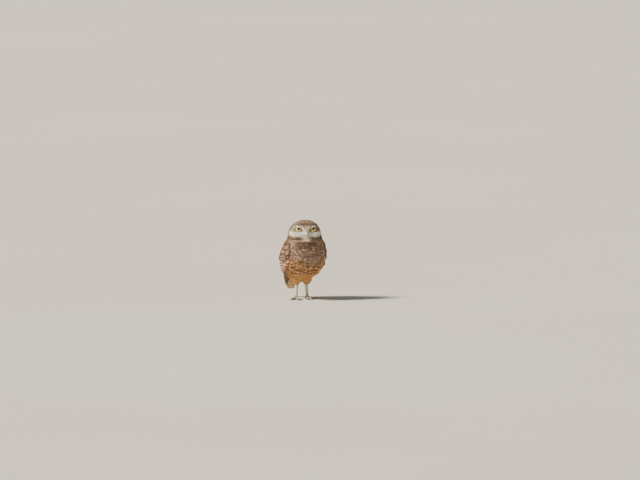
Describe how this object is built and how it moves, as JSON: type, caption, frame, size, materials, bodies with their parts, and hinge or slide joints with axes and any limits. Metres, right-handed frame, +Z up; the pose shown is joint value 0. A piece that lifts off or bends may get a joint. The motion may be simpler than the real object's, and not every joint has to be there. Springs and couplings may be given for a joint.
{
  "type": "burrowing owl",
  "caption": "Life-size still model of a burrowing owl standing upright on long legs, wings folded over a short tail, head turned a little to its right, with a short hooked bill.",
  "frame": {"origin": "middle of the model's box, on the floor that its feet stand on", "axes": "+Z up through the crown, -Y the way the body faces, +X the owl's left"},
  "size_m": [0.1128, 0.1194, 0.19],
  "materials": {
    "feather_brown": "matte brown feathers with pale spots",
    "feather_breast": "matte buff feathers with brown bars and spots",
    "leg_feathers": "short pale buff feathering",
    "toe_skin": "small scales, satin",
    "claw_horn": "dark polished horn",
    "bill_horn": "pale greenish horn, satin",
    "iris_yellow": "wet gloss"
  },
  "bodies": {
    "root": {"bill_lower": "bill_horn", "bill_upper": "bill_horn", "claw_hind_left": "claw_horn", "claw_hind_right": "claw_horn", "claw_inner_left": "claw_horn", "claw_inner_right": "claw_horn", "claw_middle_left": "claw_horn", "claw_middle_right": "claw_horn", "claw_outer_left": "claw_horn", "claw_outer_right": "claw_horn", "eye_left": "iris_yellow", "eye_right": "iris_yellow", "foot_left": "toe_skin", "foot_right": "toe_skin", "head": "feather_brown", "neck": "feather_breast", "tail": "feather_brown", "tarsus_left": "leg_feathers", "tarsus_right": "leg_feathers", "thigh_left": "leg_feathers", "thigh_right": "leg_feathers", "torso": "feather_breast", "wing_left": "feather_brown", "wing_right": "feather_brown"}
  },
  "joints": []
}
